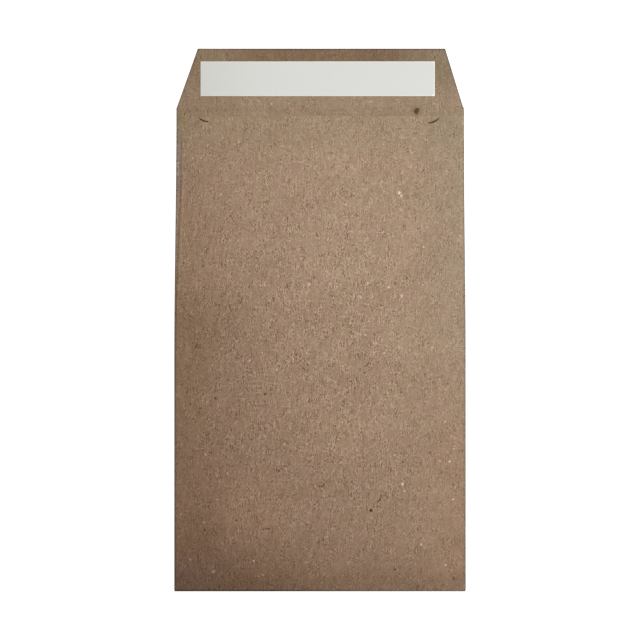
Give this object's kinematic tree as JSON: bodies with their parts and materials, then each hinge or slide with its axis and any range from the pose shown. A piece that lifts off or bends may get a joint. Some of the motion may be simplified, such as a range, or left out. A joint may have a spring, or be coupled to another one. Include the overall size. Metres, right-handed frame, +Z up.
{
  "type": "pocket envelope",
  "caption": "Flat brown kraft paper pocket envelope seen from its back, flap open at the short end, with a peel-off liner over the flap's adhesive strip.",
  "frame": {"origin": "under the middle of the whole outline, flap included, on the surface that the front panel lies on", "axes": "+Y from the bottom fold towards the open flap, +Z up out of the back panel, +X to the right seen from the back"},
  "size_m": [0.15, 0.2792, 0.002],
  "materials": {
    "kraft_paper": "matte, uncoated, flecked with dark and pale fibres",
    "strip_adhesive": "clear tacky film with a soft gloss",
    "liner_paper": "smooth satin release paper"
  },
  "bodies": {
    "root": {"envelope_sheet": "kraft_paper", "adhesive_strip": "strip_adhesive", "release_liner": "liner_paper"}
  },
  "joints": []
}
